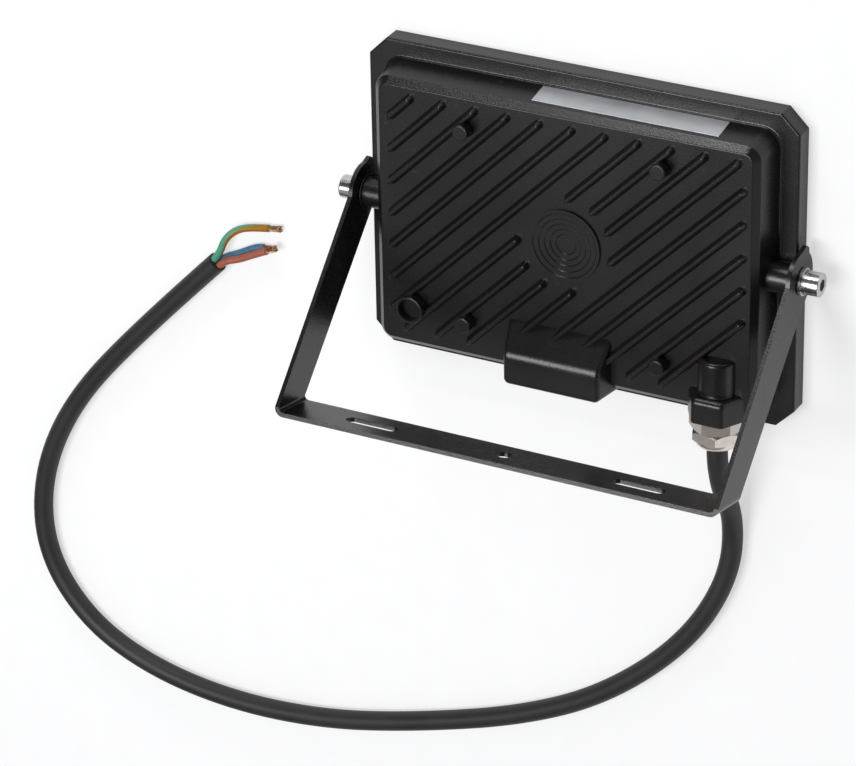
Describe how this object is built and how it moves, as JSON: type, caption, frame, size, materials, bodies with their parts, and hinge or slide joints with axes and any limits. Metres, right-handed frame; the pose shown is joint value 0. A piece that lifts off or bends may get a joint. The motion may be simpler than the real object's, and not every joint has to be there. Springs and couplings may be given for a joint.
{
  "type": "led floodlight",
  "caption": "Slim rectangular LED floodlight with a ribbed black die-cast back, a U-shaped tilting bracket, a cable gland and a short flexible cable with bare cores.",
  "frame": {"origin": "centre of the front glass's outer face, which the lamp lies on", "axes": "+X across the lamp along the tilt axis, +Y toward the edge opposite the cable gland, +Z out of the ribbed back"},
  "size_m": [0.3307, 0.2996, 0.0789],
  "materials": {
    "black_coat": "satin black powder coat",
    "bracket_coat": "satin black powder coat",
    "front_glass": "clear toughened glass",
    "gasket": "matt grey silicone",
    "reflector": "white",
    "led_board": "white solder mask",
    "leds": "yellow phosphor in white case",
    "inner_screws": "zinc plated",
    "driver_board": "green solder mask",
    "chips": "black epoxy",
    "capacitor": "shrink sleeve",
    "tinned_wire": "tinned",
    "choke": "wound core",
    "terminal_block": "moulded",
    "driver_screws": "zinc plated",
    "label": "bare silver film",
    "stainless_bolt": "bright stainless",
    "spring_washer": "bright stainless",
    "flat_washer": "bright stainless",
    "spacer": "black nylon",
    "gland_body": "nickel plated brass",
    "gland_seal": "matt",
    "gland_nut": "nickel plated brass",
    "cable_sheath": "matt black rubber",
    "core_green_yellow": "green with a yellow stripe",
    "core_blue": "semi-gloss",
    "core_brown": "semi-gloss",
    "copper": "bare stranded copper",
    "lead_blue": "semi-gloss",
    "lead_brown": "semi-gloss",
    "lead_green_yellow": "green with a yellow stripe"
  },
  "bodies": {
    "lamp": {"housing": "black_coat", "front_glass": "front_glass", "glass_gasket": "gasket", "reflector": "reflector", "led_board": "led_board", "leds": "leds", "board_screws": "inner_screws", "driver_board": "driver_board", "driver_chips": "chips", "capacitor": "capacitor", "capacitor_legs": "tinned_wire", "choke": "choke", "terminal_block": "terminal_block", "driver_screws": "driver_screws", "label_plate": "label", "tilt_bolts": "stainless_bolt", "spring_washers": "spring_washer", "flat_washers": "flat_washer", "spacer_washers": "spacer", "gland_body": "gland_body", "gland_seal": "gland_seal", "gland_nut": "gland_nut", "cable_sheath": "cable_sheath", "core_green_yellow": "core_green_yellow", "core_blue": "core_blue", "core_brown": "core_brown", "copper_ends": "copper", "lead_blue": "lead_blue", "lead_brown": "lead_brown", "lead_green_yellow": "lead_green_yellow"},
    "bracket": {"bracket": "bracket_coat"}
  },
  "joints": [
    {"name": "bracket_tilt", "type": "hinge", "parent": "lamp", "child": "bracket", "pos_m": [0, 0, 0.0101], "axis": [-1, 0, 0], "range_deg": [-25, 125]}
  ]
}
